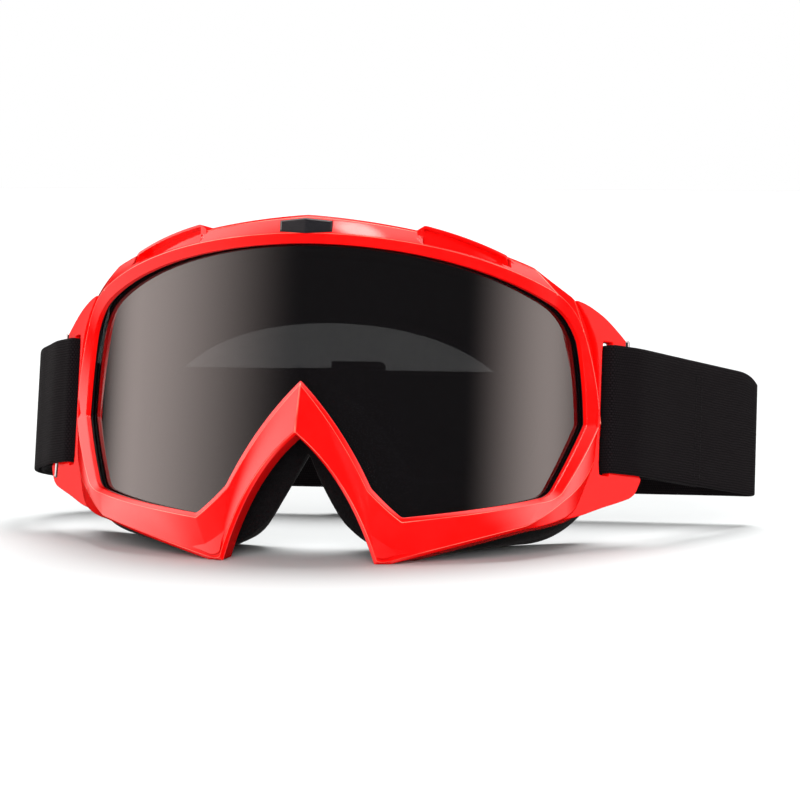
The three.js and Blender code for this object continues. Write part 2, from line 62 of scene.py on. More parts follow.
lens_lo, lens_hi = (Vector(v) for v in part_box("lens"))
frame_lo = Vector(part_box("outer_frame")[0])
SHIFT = Vector((
    (lens_lo.x + lens_hi.x) / 2,
    frame_lo.y - (NOSE_CREST[0] * COS_L + NOSE_CREST[1] * SIN_L) * MM,
    -TABLE * MM,
))


def place(p):
    """A point of the upright drawing, in millimetres, as a point of the row frame, in metres."""
    x, y, z = p
    return Vector((x, y * COS_L + z * SIN_L, -y * SIN_L + z * COS_L)) * MM + SHIFT


def table_at(y):
    return (TABLE + y * SIN_L) / COS_L


def on_wrap(u, z, n=0.0, b=0.0):
    a = u / WRAP_RADIUS
    r = WRAP_RADIUS + n
    return Vector((r * math.sin(a), WRAP_RADIUS - r * math.cos(a) + b, z))


# ---- Outlines -----------------------------------------------------------------------------
def bend(a, via, c, t):
    s = 1 - t
    return tuple(s * s * p + 2 * s * t * q + t * t * r for p, q, r in zip(a, via, c))


def half_line(first, spans, steps):
    line = [first]
    start = first
    for (via, to), count in zip(spans, steps):
        line += [bend(start, via, to, k / count) for k in range(1, count + 1)]
        start = to
    return line


def soften(line, rounds):
    """Rounds the corners of a half outline whose first and last points lie on the middle plane."""
    for _ in range(rounds):
        before = [(-line[1][0],) + tuple(line[1][1:])] + line[:-1]
        after = line[1:] + [(-line[-2][0],) + tuple(line[-2][1:])]
        line = [
            tuple((a + 2 * b + c) / 4 for a, b, c in zip(p, q, r))
            for p, q, r in zip(before, line, after)
        ]
    return line


def mirror_loop(half):
    return half + [(-p[0],) + tuple(p[1:]) for p in reversed(half[1:-1])]


def round_corners(line, radius):
    """Turns each corner between two spans into three close points, so that it catches a fine line of
    light. Corners on the middle plane keep a point there."""
    def towards(a, b):
        span = Vector((b[0] - a[0], b[1] - a[1])).length
        t = min(radius / max(span, 1e-6), 0.6)
        return tuple(p + (q - p) * t for p, q in zip(a, b))

    corners = {sum(STEPS[:k]) for k in range(1, len(STEPS))}
    last = len(line) - 1
    out = []
    for i, p in enumerate(line):
        if i == last:
            near = towards(p, line[i - 1])
            out += [near, (0,) + tuple((a + 3 * b) / 4 for a, b in zip(near[1:], p[1:]))]
        elif i in corners:
            before, after = towards(p, line[i - 1]), towards(p, line[i + 1])
            blunt = tuple((a + 2 * b + c) / 4 for a, b, c in zip(before, p, after))
            out += [before, blunt, after]
        else:
            out.append(p)
    return out


# Spans: brow, brow corner, temple, cheek, lower corner, bottom, frame tip, nose arm.
STEPS = [44, 12, 24, 22, 12, 32, 12, 32]

OPENING = round_corners(half_line((0, 40.9, 0), [
    [(44, 40.6, 0), (81, 27.9, 0)],
    [(88.5, 25, 0), (92.8, 17.9, 0)],
    [(96.5, 7, 0), (97.6, -6.9, 0)],
    [(91.5, -16.5, 0), (83.5, -28, 0)],
    [(81.5, -30.8, 0), (77.5, -31.6, 0)],
    [(60, -36.2, 0), (32, -40.6, 0.5)],
    [(27.5, -37.2, 0), (22.5, -32.2, 0)],
    [(13.3, -14, 0), (0, -0.6, 0)],
], STEPS), 0.6)

INNER_CREST = round_corners(half_line((0, 43.6, 1.9), [
    [(44, 43.3, 1.9), (80.5, 31.2, 1.8)],
    [(88, 28, 1.9), (92, 21.5, 2)],
    [(98.5, 9, 2.4), (101.4, -6, 2.4)],
    [(94, -18, 2.2), (85.4, -29.4, 1.4)],
    [(82.5, -32.2, 1), (77.3, -33, 0.8)],
    [(59.5, -37.6, 0.8), (31.9, -42, 0.9)],
    [(26.6, -38.4, 0.9), (21.2, -33, 0.8)],
    [(12.3, -15.6, 0.7), (0, -1.9, 0.6)],
], STEPS), 0.35)

OUTER_CREST = round_corners(half_line((0, 48.8, 0.1), [
    [(38, 46.4, 0.1), (72.4, 37.7, 0.9)],
    [(80.5, 33.6, 1.1), (89.2, 30.8, 0.2)],
    [(99.5, 20, 1.2), (103, -6.2, 1.5)],
    [(101, -22, 2.4), (86, -31.6, 1.7)],
    [(79, -36.5, 2), (71.5, -40.4, 2.9)],
    [(50.8, -46.8, 1.2), (28.6, -53.6, -2.9)],
    [(26.6, -54.3, -3.2), (25.2, -53.4, -2.9)],
    [(15.8, -29.6, 1.5), (0, -16.6, 4.9)],
], STEPS), 0.35)

OUTER_EDGE = round_corners(half_line((0, 49.8, -1), [
    [(38, 47.1, -1), (72.8, 38.6, -0.7)],
    [(81.2, 34.6, -1), (90.2, 31.8, -1.6)],
    [(101, 20, -0.6), (103.6, -6.4, 0.2)],
    [(102.5, -29, 0.4), (87.5, -36.8, 1)],
    [(80, -39.9, 1.2), (71.5, -41.4, 1.4)],
    [(50.8, -47.8, -0.2), (28.4, -54.7, -4.2)],
    [(26.2, -55.4, -4.4), (24.4, -54.4, -4.2)],
    [(14.7, -29.8, 0.2), (0, -17.4, 3.4)],
], STEPS), 0.5)


def shifted(line, target, distance, n=None):
    """Steps from one outline towards another, the distance measured square to the first one."""
    out = []
    for i, p in enumerate(line):
        before, after = line[max(i - 2, 0)], line[min(i + 2, len(line) - 1)]
        along = Vector((after[0] - before[0], after[1] - before[1])).normalized()
        towards = Vector((target[i][0] - p[0], target[i][1] - p[1])).normalized()
        step = distance / max(abs(towards.x * along.y - towards.y * along.x), 0.35)
        out.append((p[0] + towards.x * step, p[1] + towards.y * step, p[2] if n is None else n))
    return out


def rested(line, back):
    return [(u, max(z, table_at(on_wrap(u, z, n, back).y)), n) for u, z, n in line]


def at_n(line, n):
    return [(p[0], p[1], n) for p in line]


def wrap_ring(half, back=0.0):
    return [on_wrap(u, z, n, back) for u, z, n in mirror_loop(half)]


# ---- Mesh building ------------------------------------------------------------------------
def new_piece(name, points, faces, uvs=None, sharp=35.0):
    mesh = bpy.data.meshes.new(name)
    mesh.from_pydata([place(p) for p in points], [], faces)
    mesh.validate()
    if uvs:
        layer = mesh.uv_layers.new(name="strap")
        for loop in mesh.loops:
            layer.data[loop.index].uv = uvs[loop.vertex_index]
    obj = bpy.data.objects.new(name, mesh)
    bpy.context.scene.collection.objects.link(obj)
    mesh.shade_smooth()
    if sharp:
        mesh.set_sharp_from_angle(angle=math.radians(sharp))
    outward(obj)
    return obj


def outward(obj):
    """Turns the faces out, judged by the sign of the closed mesh's volume."""
    mesh = obj.data
    volume = 0.0
    for poly in mesh.polygons:
        corners = [mesh.vertices[i].co for i in poly.vertices]
        for k in range(1, len(corners) - 1):
            volume += corners[0].dot(corners[k].cross(corners[k + 1]))
    if volume < 0:
        mesh.flip_normals()


def tube_faces(rings, around):
    """Quads between rings of equal length; the rings follow each other round one section."""
    faces = []
    for r in range(rings):
        nxt = ((r + 1) % rings) * around
        for i in range(around):
            j = (i + 1) % around
            faces.append((r * around + i, nxt + i, nxt + j, r * around + j))
    return faces


def rounded_section(corners, radii, arc=4, crowns=None, fill=3):
    """One cross-section: a closed polygon of 3-D corners with rounded corners. crowns[k] = (amount,
    direction) bows the side that leaves corner k."""
    out = []
    count = len(corners)
    for k in range(count):
        p, q, r = corners[k - 1], corners[k], corners[(k + 1) % count]
        back_len, on_len = (p - q).length, (r - q).length
        a = q + (p - q) * min(radii[k] / max(back_len, 1e-6), 0.45)
        c = q + (r - q) * min(radii[k] / max(on_len, 1e-6), 0.45)
        for s in range(arc + 1):
            t = s / arc
            out.append(a * (1 - t) ** 2 + q * (2 * t * (1 - t)) + c * t ** 2)
        crown = crowns.get(k) if crowns else None
        steps = fill if crown else 0
        if steps:
            nxt = corners[(k + 2) % count]
            end = r + (q - r) * min(radii[(k + 1) % count] / max(on_len, 1e-6), 0.45)
            amount, direction = crown
            for s in range(1, steps + 1):
                t = s / (steps + 1)
                out.append(c.lerp(end, t) + direction * (amount * 4 * t * (1 - t)))
    return out


def loft(name, rings, radii, crowns=None, arc=4, sharp=35.0, fill=3):
    """Closed tube through whole rings (lists of points) with rounded section corners. crowns maps a
    ring's index to the bow, in millimetres outwards from the wrap axis, of the side after it."""
    around = len(rings[0])
    sections = []
    for i in range(around):
        corners = [ring[i] for ring in rings]
        bows = {}
        for k, amount in (crowns or {}).items():
            mid = (corners[k] + corners[(k + 1) % len(corners)]) / 2
            out = Vector((mid.x, mid.y - WRAP_RADIUS, 0)).normalized()
            bows[k] = (amount, out)
        sections.append(rounded_section(corners, radii, arc, bows, fill))
    size = len(sections[0])
    points = [sections[i][k] for k in range(size) for i in range(around)]
    return new_piece(name, points, tube_faces(size, around), sharp=sharp)


def paint_edge_highlights(obj, around, crests, arc, crowns, fill, creases):
    """Gives the obj's second material, a painted highlight, to the middle of its rounded crests and to
    its creases: faces come in the order of tube_faces, and crests are numbers of the rings that loft was
    given."""
    starts, at = [], 0
    for k in range(max(crests) + 2):
        starts.append(at)
        at += arc + 1 + (fill if k in crowns else 0)
    band = range(starts[min(crests)], starts[max(crests)] + arc)
    for poly in obj.data.polygons:
        row, column = divmod(poly.index, around)
        on_crest = any(row - starts[k] == arc // 2 for k in crests)
        if on_crest or (row in band and column in creases):
            poly.material_index = 1


def add_weighted_normals(obj):
    mod = obj.modifiers.new("even_normals", 'WEIGHTED_NORMAL')
    mod.keep_sharp = True
    mod.weight = 60


def add_bevel(obj, width, segments=3, angle=30):
    mod = obj.modifiers.new("edge_round", 'BEVEL')
    mod.width = width * MM
    mod.segments = segments
    mod.limit_method = 'ANGLE'
    mod.angle_limit = math.radians(angle)
    mod.harden_normals = False


def bake_modifiers(obj):
    """Replaces the object's mesh by its evaluated one."""
    depsgraph = bpy.context.evaluated_depsgraph_get()
    mesh = bpy.data.meshes.new_from_object(obj.evaluated_get(depsgraph), depsgraph=depsgraph)
    obj.modifiers.clear()
    obj.data = mesh


def bar_faces(size, count):
    """Faces of a closed bar through `count` sections of `size` points, with flat caps."""
    faces = []
    for s in range(count - 1):
        for i in range(size):
            j = (i + 1) % size
            a, b = s * size + i, s * size + j
            faces.append((a, b, b + size, a + size))
    faces.append(tuple(range(size)))
    faces.append(tuple(reversed(range((count - 1) * size, count * size))))
    return faces


def bar(name, sections, sharp=35.0):
    points = [p for section in sections for p in section]
    return new_piece(name, points, bar_faces(len(sections[0]), len(sections)), sharp=sharp)


# ---- Materials ----------------------------------------------------------------------------
class Nodes:
    def __init__(self, tree):
        self.tree = tree

    def add(self, kind, **settings):
        node = self.tree.nodes.new(kind)
        for key, value in settings.items():
            if key in node.inputs:
                node.inputs[key].default_value = value
            else:
                setattr(node, key, value)
        return node

    def link(self, a, b):
        self.tree.links.new(a, b)

    def math(self, operation, a, b=None):
        node = self.add("ShaderNodeMath", operation=operation)
        for socket, value in zip(node.inputs, (a, b)):
            if value is None:
                continue
            if hasattr(value, "links"):
                self.link(value, socket)
            else:
                socket.default_value = value
        return node.outputs[0]

    def coordinates(self, scale=(1, 1, 1)):
        source = self.add("ShaderNodeTexCoord")
        mapping = self.add("ShaderNodeMapping")
        mapping.inputs["Scale"].default_value = scale
        self.link(source.outputs["Object"], mapping.inputs["Vector"])
        return mapping.outputs["Vector"]

    def noise(self, vector, scale, detail=3.0, roughness=0.5):
        node = self.add("ShaderNodeTexNoise")
        node.inputs["Scale"].default_value = scale
        node.inputs["Detail"].default_value = detail
        node.inputs["Roughness"].default_value = roughness
        self.link(vector, node.inputs["Vector"])
        return node.outputs["Fac"]

    def ramp(self, value, stops):
        """Even change between two (position, colour) stops."""
        node = self.add("ShaderNodeValToRGB")
        for element, (position, colour) in zip(node.color_ramp.elements, stops):
            element.position = position
            element.color = (*colour, 1)
        self.link(value, node.inputs["Fac"])
        return node.outputs["Color"]

    def bump(self, height, strength, distance):
        node = self.add("ShaderNodeBump")
        node.inputs["Strength"].default_value = strength
        node.inputs["Distance"].default_value = distance
        self.link(height, node.inputs["Height"])
        return node.outputs["Normal"]


class Material(Nodes):
    def __init__(self, name):
        self.material = bpy.data.materials.new(name)
        self.material.use_nodes = True
        super().__init__(self.material.node_tree)
        self.shader = self.tree.nodes["Principled BSDF"]

    def set(self, **values):
        for key, value in values.items():
            self.shader.inputs[key.replace("_", " ")].default_value = value
        return self


def red_plastic(name="glossy_red_plastic", low=(0.82, 0.002, 0.002), high=(0.9, 0.004, 0.003), ior=1.8):
    m = Material(name).set(Base_Color=(*high, 1), Roughness=0.1, IOR=ior)
    v = m.coordinates()
    tint = m.ramp(m.noise(v, 60), [(0.3, low), (0.7, high)])
    m.link(tint, m.shader.inputs["Base Color"])
    gloss = m.ramp(m.noise(v, 420, 4), [(0.3, (0.07,) * 3), (0.75, (0.13,) * 3)])
    m.link(gloss, m.shader.inputs["Roughness"])
    m.link(m.bump(m.noise(v, 900, 2), 0.05, 0.0001), m.shader.inputs["Normal"])
    return m.material


def lens_material():
    m = Material("smoke_polycarbonate").set(Base_Color=(0.003, 0.0028, 0.0033, 1), Roughness=0.05, IOR=2.0)
    m.set(Alpha=0.835)
    v = m.coordinates()
    gloss = m.ramp(m.noise(v, 90, 5), [(0.35, (0.04,) * 3), (0.8, (0.075,) * 3)])
    m.link(gloss, m.shader.inputs["Roughness"])
    m.material.surface_render_method = 'DITHERED'
    return m.material


def soft_plastic(name, colour, roughness, grain=1500):
    m = Material(name).set(Base_Color=(*colour, 1), Roughness=roughness, IOR=1.48)
    v = m.coordinates()
    low = tuple(c * 0.8 for c in colour)
    high = tuple(c * 1.25 for c in colour)
    m.link(m.ramp(m.noise(v, 130), [(0.3, low), (0.7, high)]), m.shader.inputs["Base Color"])
    m.link(m.bump(m.noise(v, grain, 4), 0.25, 0.0001), m.shader.inputs["Normal"])
    return m.material


def foam_material(name, colour, sheen, scale):
    m = Material(name).set(Base_Color=(*colour, 1), Roughness=0.95, IOR=1.4)
    m.set(Sheen_Weight=sheen, Sheen_Roughness=0.5)
    v = m.coordinates()
    cells = m.add("ShaderNodeTexVoronoi", feature='SMOOTH_F1')
    cells.inputs["Scale"].default_value = scale
    m.link(v, cells.inputs["Vector"])
    fibre = m.noise(v, scale * 1.7, 5, 0.65)
    mixed = m.math('ADD', m.math('MULTIPLY', cells.outputs["Distance"], 0.7), m.math('MULTIPLY', fibre, 0.6))
    low = tuple(c * 0.45 for c in colour)
    high = tuple(c * 1.6 for c in colour)
    m.link(m.ramp(mixed, [(0.3, low), (0.8, high)]), m.shader.inputs["Base Color"])
    m.link(m.bump(mixed, 0.8, 0.0003), m.shader.inputs["Normal"])
    return m.material


RIB_PITCH = 0.0008                  # metres between the webbing's knitted columns
ROW_PITCH = 0.0007                  # metres between the stitches in a column


def webbing_material():
    """Knitted elastic: columns along its length, with short stitches in each."""
    m = Material("black_elastic_webbing").set(Base_Color=(0.006, 0.0055, 0.0065, 1), Roughness=0.9, IOR=1.13)
    m.set(Sheen_Weight=0.025, Sheen_Roughness=0.4)
    source = m.add("ShaderNodeUVMap", uv_map="strap")
    parts = m.add("ShaderNodeSeparateXYZ")
    m.link(source.outputs["UV"], parts.inputs["Vector"])
    along, across = parts.outputs["X"], parts.outputs["Y"]
    wobble = m.math('MULTIPLY', m.noise(source.outputs["UV"], 160, 2), 0.0006)
    column = m.math('DIVIDE', m.math('ADD', across, wobble), RIB_PITCH)
    column_wave = m.math('ABSOLUTE', m.math('SINE', m.math('MULTIPLY', column, math.pi)))
    shift = m.math('MULTIPLY', m.math('FLOOR', column), 0.5)
    row = m.math('ADD', m.math('DIVIDE', along, ROW_PITCH), shift)
    row_wave = m.math('ABSOLUTE', m.math('SINE', m.math('MULTIPLY', row, math.pi)))
    fuzz = m.noise(source.outputs["UV"], 1500, 5, 0.75)
    height = m.math('ADD', m.math('MULTIPLY', column_wave, row_wave), m.math('MULTIPLY', fuzz, 0.8))
    tone = m.ramp(height, [(0.3, (0.0004, 0.0003, 0.0004)), (1.0, (0.0092, 0.0072, 0.0082))])
    m.link(tone, m.shader.inputs["Base Color"])
    m.link(m.bump(height, 0.7, 0.00016), m.shader.inputs["Normal"])
    return m.material


def steel_material():
    m = Material("drawn_steel").set(Base_Color=(0.62, 0.63, 0.66, 1), Roughness=0.25, Metallic=1.0)
    v = m.coordinates(scale=(1, 1, 0.06))
    streak = m.noise(v, 2400, 3)
    m.link(m.ramp(streak, [(0.3, (0.18,) * 3), (0.7, (0.36,) * 3)]), m.shader.inputs["Roughness"])
    m.link(m.bump(streak, 0.15, 0.00005), m.shader.inputs["Normal"])
    return m.material


def badge_material():
    m = Material("gloss_grey_plastic").set(Base_Color=(0.012, 0.0115, 0.0135, 1), Roughness=0.18, IOR=1.8)
    v = m.coordinates()
    m.link(m.ramp(m.noise(v, 300, 4), [(0.3, (0.14,) * 3), (0.8, (0.28,) * 3)]), m.shader.inputs["Roughness"])
    m.link(m.bump(m.noise(v, 1800, 3), 0.08, 0.00008), m.shader.inputs["Normal"])
    return m.material


RED = red_plastic()
RED_ARM = red_plastic("red_plastic_strap_arm", ior=1.28)
# Painted highlight: a pale pink red that stands for the thin lines of light that the frame's crests and
# creases catch.
RED_PAINTED_HIGHLIGHT = red_plastic("red_plastic_painted_edge_highlight", (0.9, 0.02, 0.015), (1.0, 0.28, 0.2))
LENS = lens_material()
INNER_BLACK = soft_plastic("satin_black_moulding", (0.012, 0.012, 0.013), 0.5)
GASKET_BLACK = soft_plastic("gasket_black", (0.005, 0.005, 0.006), 0.55)
SLIDER_BLACK = soft_plastic("slider_black_plastic", (0.014, 0.014, 0.016), 0.38, 2200)
FOAM = foam_material("fabric_faced_foam", (0.0032, 0.003, 0.0034), 0.03, 1900)
FLEECE = foam_material("brushed_fleece", (0.017, 0.0168, 0.019), 0.25, 2600)
FILTER = foam_material("open_cell_filter", (0.012, 0.012, 0.012), 0.0, 1300)
WEB = webbing_material()
STEEL = steel_material()
BADGE_GREY = badge_material()
THREAD = foam_material("polyester_thread", (0.006, 0.0053, 0.006), 0.0, 3500)


def finish_piece(obj, material, body, slot, *nodes):
    obj.data.materials.clear()
    obj.data.materials.append(material)
    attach(obj, body)
    if nodes:
        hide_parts(*nodes)


# ---- Outer frame --------------------------------------------------------------------------
LIP_THICK, WALL_THICK, WALL_DEPTH = 1.6, 2.0, 8.0
LENS_FRONT, LENS_THICK, LENS_MARGIN, SEAL_MARGIN = -2.7, 1.4, 3.0, 0.7

wall_rear = rested(OUTER_EDGE, WALL_DEPTH)
inner_wall = shifted(wall_rear, OPENING, WALL_THICK)
shell = loft("frame_shell", [
    wrap_ring(OPENING),
    wrap_ring(INNER_CREST),
    wrap_ring(OUTER_CREST),
    wrap_ring(rested(OUTER_EDGE, 0)),
    wrap_ring(wall_rear, WALL_DEPTH),
    wrap_ring(inner_wall, WALL_DEPTH),
    wrap_ring(shifted(OUTER_EDGE, OPENING, WALL_THICK, -LIP_THICK)),
    wrap_ring(at_n(OPENING, -LIP_THICK)),
], radii=[0.3, 0.4, 0.45, 0.4, 0.4, 0.4, 0.3, 0.3], crowns={1: 0.06}, sharp=None)
finish_piece(shell, RED, "goggles", "frame_red", "outer_frame")
# The frame's second material is a painted highlight for its crests and creases.
shell.data.materials.append(RED_PAINTED_HIGHLIGHT)
half_count = len(OUTER_EDGE)
# Columns whose creases get the painted highlight: the first span corners on both sides and the nose middle.
CREASED_SPANS = 3
crease_columns = set()
for k in range(1, CREASED_SPANS + 1):
    first = sum(STEPS[:k]) + 2 * (k - 1)
    crease_columns |= {first, first + 1}
full_count = 2 * half_count - 2
crease_columns |= {full_count - 1 - column for column in crease_columns} | {half_count - 2, half_count - 1}
paint_edge_highlights(shell, full_count, crests=(1, 2), arc=4, crowns={1}, fill=3, creases=crease_columns)

# Strap arms: flat plates with a slot for the strap, drawn with w along the plate and z up.
ARM_FROM, ARM_TO = Vector((80, 43, 0)), Vector((97, 63, 0))
ARM_FACE, ARM_THICK = -0.8, 3.2
SLOT = dict(inner=7.4, outer=11.8, low=-22.2, high=19.2)
along = (ARM_TO - ARM_FROM).normalized()
outwards = Vector((along.y, -along.x, 0))
ARM_OUTLINE = [
    (-5, 31), (0.7, 30), (7.1, 27.4), (11.4, 24.8), (17, 20.7), (19.6, 18.2),
    (20.3, 8), (21.3, -8), (22.6, -19), (25, -21.6), (25.4, -22.6), (22.6, -27.9),
    (15.9, -30.3), (9.2, -32.4), (-0.6, -36), (-9, -37.8), (-9.5, -34), (-2.5, -29), (4.5, -22),
    (6, -8), (6, 8), (4.8, 19), (-0.5, 27),
]


def on_arm(w, z, m, side=1):
    p = ARM_FROM + along * w + outwards * m
    return Vector((p.x * side, p.y, z))


def cut_corners(points, rounds=2, share=0.2):
    for _ in range(rounds):
        fresh = []
        for k, p in enumerate(points):
            q = points[(k + 1) % len(points)]
            fresh.append(tuple(a + (b - a) * share for a, b in zip(p, q)))
            fresh.append(tuple(a + (b - a) * (1 - share) for a, b in zip(p, q)))
        points = fresh
    return points


def flat_plate(name, outlines, thick, bevel):
    """Flat plate with holes from closed outlines, through Blender's own curve filling, in its own
    drawing plane: x, y in the plane and z through it, from 0 to thick."""
    curve = bpy.data.curves.new(name, 'CURVE')
    curve.dimensions = '2D'
    curve.fill_mode = 'BOTH'
    curve.extrude = thick / 2 - bevel
    curve.bevel_depth = bevel
    curve.bevel_resolution = 3
    curve.offset = -bevel
    for outline in outlines:
        spline = curve.splines.new('POLY')
        spline.points.add(len(outline) - 1)
        for point, (x, y) in zip(spline.points, outline):
            point.co = (x, y, 0, 1)
        spline.use_cyclic_u = True
    obj = bpy.data.objects.new(name, curve)
    bpy.context.scene.collection.objects.link(obj)
    depsgraph = bpy.context.evaluated_depsgraph_get()
    mesh = bpy.data.meshes.new_from_object(obj.evaluated_get(depsgraph), depsgraph=depsgraph)
    points = [(v.co.x, v.co.y, v.co.z + thick / 2) for v in mesh.vertices]
    faces = [tuple(p.vertices) for p in mesh.polygons]
    bpy.data.objects.remove(obj)
    return points, faces


slot_outline = cut_corners([
    (SLOT["inner"], SLOT["low"]), (SLOT["outer"], SLOT["low"]),
    (SLOT["outer"], SLOT["high"]), (SLOT["inner"], SLOT["high"]),
], 3, 0.08)
plate_points, plate_faces = flat_plate(
    "arm_plate", [cut_corners(ARM_OUTLINE, 2, 0.22), slot_outline], ARM_THICK, 0.45)
for side, label in ((1, "right"), (-1, "left")):
    arm = new_piece(
        "strap_arm_" + label,
        [on_arm(w, z, ARM_FACE - ARM_THICK + m, side) for w, z, m in plate_points],
        plate_faces, sharp=None)
    merge = arm.modifiers.new("merge", 'WELD')
    merge.merge_threshold = 0.00001
    add_weighted_normals(arm)
    finish_piece(arm, RED_ARM, "goggles", "frame_red", "outer_frame")

# Steel pins in the arms.
PIN_LOW, PIN_HIGH, PIN_RADIUS = (21.2, -26), (17.6, 20.6), 0.9
PIN_SUNK, RIGHT_FOOT_SUNK = 0.3, 1.5            # the right pin's foot is hidden in its arm
PIN_END = ((0.0, 0.35), (0.12, 0.72), (0.35, 0.94), (0.7, 1.0))     # rounded end, in radii


def round_rod(name, a, b, radius, around=24):
    axis = (b - a).normalized()
    side = axis.cross(Vector((1, 0, 0))).normalized()
    other = axis.cross(side)
    sections = []
    for depth, size in PIN_END:
        sections.append((a + axis * depth * radius, size))
    for depth, size in reversed(PIN_END):
        sections.append((b - axis * depth * radius, size))
    rings = [[
        centre + (side * math.cos(t) + other * math.sin(t)) * radius * size
        for t in (2 * math.pi * k / around for k in range(around))
    ] for centre, size in sections]
    return bar(name, rings, sharp=50)


for side, label in ((1, "right"), (-1, "left")):
    pin = round_rod(
        "steel_pin_" + label,
        on_arm(PIN_LOW[0], PIN_LOW[1], ARM_FACE - (RIGHT_FOOT_SUNK if side > 0 else PIN_SUNK), side),
        on_arm(PIN_HIGH[0], PIN_HIGH[1], ARM_FACE - PIN_SUNK, side), PIN_RADIUS)
    finish_piece(pin, STEEL, "goggles", "pin_steel", "strap_pin_" + label)

# Brow scoops: a raised lip over a pocket that is sunk into the brow band.
SCOOP = dict(start=33.2, end=63.2, back=-8.0, front=0.7, floor=-2.6, rim=0.75, below=3.3, ease=0.15)
POCKET = dict(inset_start=1.2, inset_end=0.6, mouth=5, slant=0.05)
SCOOP_SEAT, SCOOP_SLANT = 0.6, 0.1
crest_line = OUTER_CREST[:STEPS[0] + 1]


def height_at(line, u):
    for a, b in zip(line, line[1:]):
        if b[0] >= u:
            return a[1] + (b[1] - a[1]) * (u - a[0]) / max(b[0] - a[0], 1e-6)
    return line[-1][1]


def scoop_share(u):
    return (u - SCOOP["start"]) / (SCOOP["end"] - SCOOP["start"])


def scoop_top(u):
    """The lip's top edge, ramped down at both ends."""
    ramp = 0.85 * max(0, 2.2 - (u - SCOOP["start"])) + 0.7 * max(0, 1.4 - (SCOOP["end"] - u))
    return bend((47.9,), (45.5,), (40.5,), scoop_share(u))[0] - ramp


def pocket_bottom(u):
    return height_at(crest_line, u) - SCOOP["below"] * (1 - 0.25 * scoop_share(u))


def scoop_bar(name, start, end, low, high, n_back, n_front, slant=0.0, steps=60):
    """Bar along the brow between two heights, its ends slanted by a share of its height."""
    sections = []
    for k in range(steps + 1):
        u = start + (end - start) * k / steps
        bottom, top = low(u), high(u)
        foot = u + slant * (top - bottom) * (2 * k / steps - 1)
        sections.append([
            on_wrap(foot, bottom, n_back), on_wrap(foot, bottom, n_front),
            on_wrap(u, top, n_front), on_wrap(u, top, n_back),
        ])
    return bar(name, sections)


def cut_out(obj, tool):
    cut = obj.modifiers.new("pocket", 'BOOLEAN')
    cut.operation = 'DIFFERENCE'
    cut.solver = 'EXACT'
    cut.object = tool
    bake_modifiers(obj)


def flip_sides(obj):
    for vertex in obj.data.vertices:
        vertex.co.x = 2 * SHIFT.x - vertex.co.x
    obj.data.flip_normals()


rim = SCOOP["rim"]


def scoop_pocket(grow):
    """Tool that cuts the pocket; the band's own cut is a little wider, so no two faces coincide."""
    return scoop_bar(
        "pocket", SCOOP["start"] + rim + POCKET["inset_start"] - grow,
        SCOOP["end"] - rim - POCKET["inset_end"] + grow,
        lambda u: pocket_bottom(u) - grow, lambda u: scoop_top(u) - rim + 4 * grow,
        SCOOP["floor"] - grow, POCKET["mouth"], POCKET["slant"])


for side, label in ((1, "right"), (-1, "left")):
    block = scoop_bar(
        "brow_scoop_" + label, SCOOP["start"], SCOOP["end"],
        lambda u: pocket_bottom(u) - SCOOP_SEAT, scoop_top,
        SCOOP["back"], SCOOP["front"], SCOOP_SLANT)
    for solid, grow in ((block, 0.0), (shell, SCOOP["ease"])):
        pocket = scoop_pocket(grow)
        if side < 0:
            flip_sides(pocket)
            if solid is block:
                flip_sides(block)
        cut_out(solid, pocket)
        bpy.data.objects.remove(pocket)
    add_bevel(block, 0.28, 3, 30)
    block.data.shade_smooth()
    add_weighted_normals(block)
    finish_piece(block, RED, "goggles", "frame_red", "outer_frame")
add_weighted_normals(shell)

# ---- Badge --------------------------------------------------------------------------------
BADGE = dict(half=8.0, end_low=44.1, end_high=47.5, mid_low=43.5, mid_high=48.2, seat=-0.4)
BADGE_FACE, BADGE_RIDGE, BADGE_RIM, BADGE_RAISED = -1.6, 0.9, 0.5, 0.35


def badge_section(x, raised=BADGE_RAISED):
    t = 1 - abs(x) / BADGE["half"]
    low = BADGE["end_low"] + t * (BADGE["mid_low"] - BADGE["end_low"])
    high = BADGE["end_high"] + t * (BADGE["mid_high"] - BADGE["end_high"])
    edge = BADGE_FACE - BADGE_RIDGE * t
    profile = [
        (edge, low), (edge - raised, low + BADGE_RIM), (edge - raised, high - BADGE_RIM),
        (edge, high), (BADGE["seat"], high), (BADGE["seat"], low),
    ]
    return [Vector((x, y, z)) for y, z in profile]


badge_inner = BADGE["half"] - BADGE_RIM
badge = bar("brow_badge_face", [
    badge_section(-BADGE["half"], 0), badge_section(-badge_inner), badge_section(0),
    badge_section(badge_inner), badge_section(BADGE["half"], 0),
])
add_bevel(badge, 0.1, 2, 8)
add_weighted_normals(badge)
finish_piece(badge, BADGE_GREY, "goggles", "badge_grey", "brow_badge")

# ---- Lens, gasket, inner frame ------------------------------------------------------------
lens_edge = shifted(OPENING, OUTER_EDGE, LENS_MARGIN)
corner = max(range(len(lens_edge)), key=lambda i: lens_edge[i][0])
top_line = lens_edge[:corner + 1]
bottom_line = list(reversed(lens_edge[corner:]))
LENS_TIP, LENS_STEPS, LENS_CROWDING = 0.4, 90, 1.25     # sections crowd towards the lens's ends
reach = lens_edge[corner][0] - LENS_TIP
right_places = [reach * (1 - (1 - k / LENS_STEPS) ** LENS_CROWDING) for k in range(LENS_STEPS + 1)]
stations = [-u for u in reversed(right_places[1:])] + right_places
lens_sections = []
for u in stations:
    low, high = height_at(bottom_line, abs(u)), height_at(top_line, abs(u))
    back = LENS_FRONT - LENS_THICK
    lens_sections.append([
        on_wrap(u, low, back), on_wrap(u, low, LENS_FRONT),
        on_wrap(u, high, LENS_FRONT), on_wrap(u, high, back),
    ])
lens = bar("smoke_lens", lens_sections, sharp=40)
finish_piece(lens, LENS, "goggles", "lens_smoke", "lens")

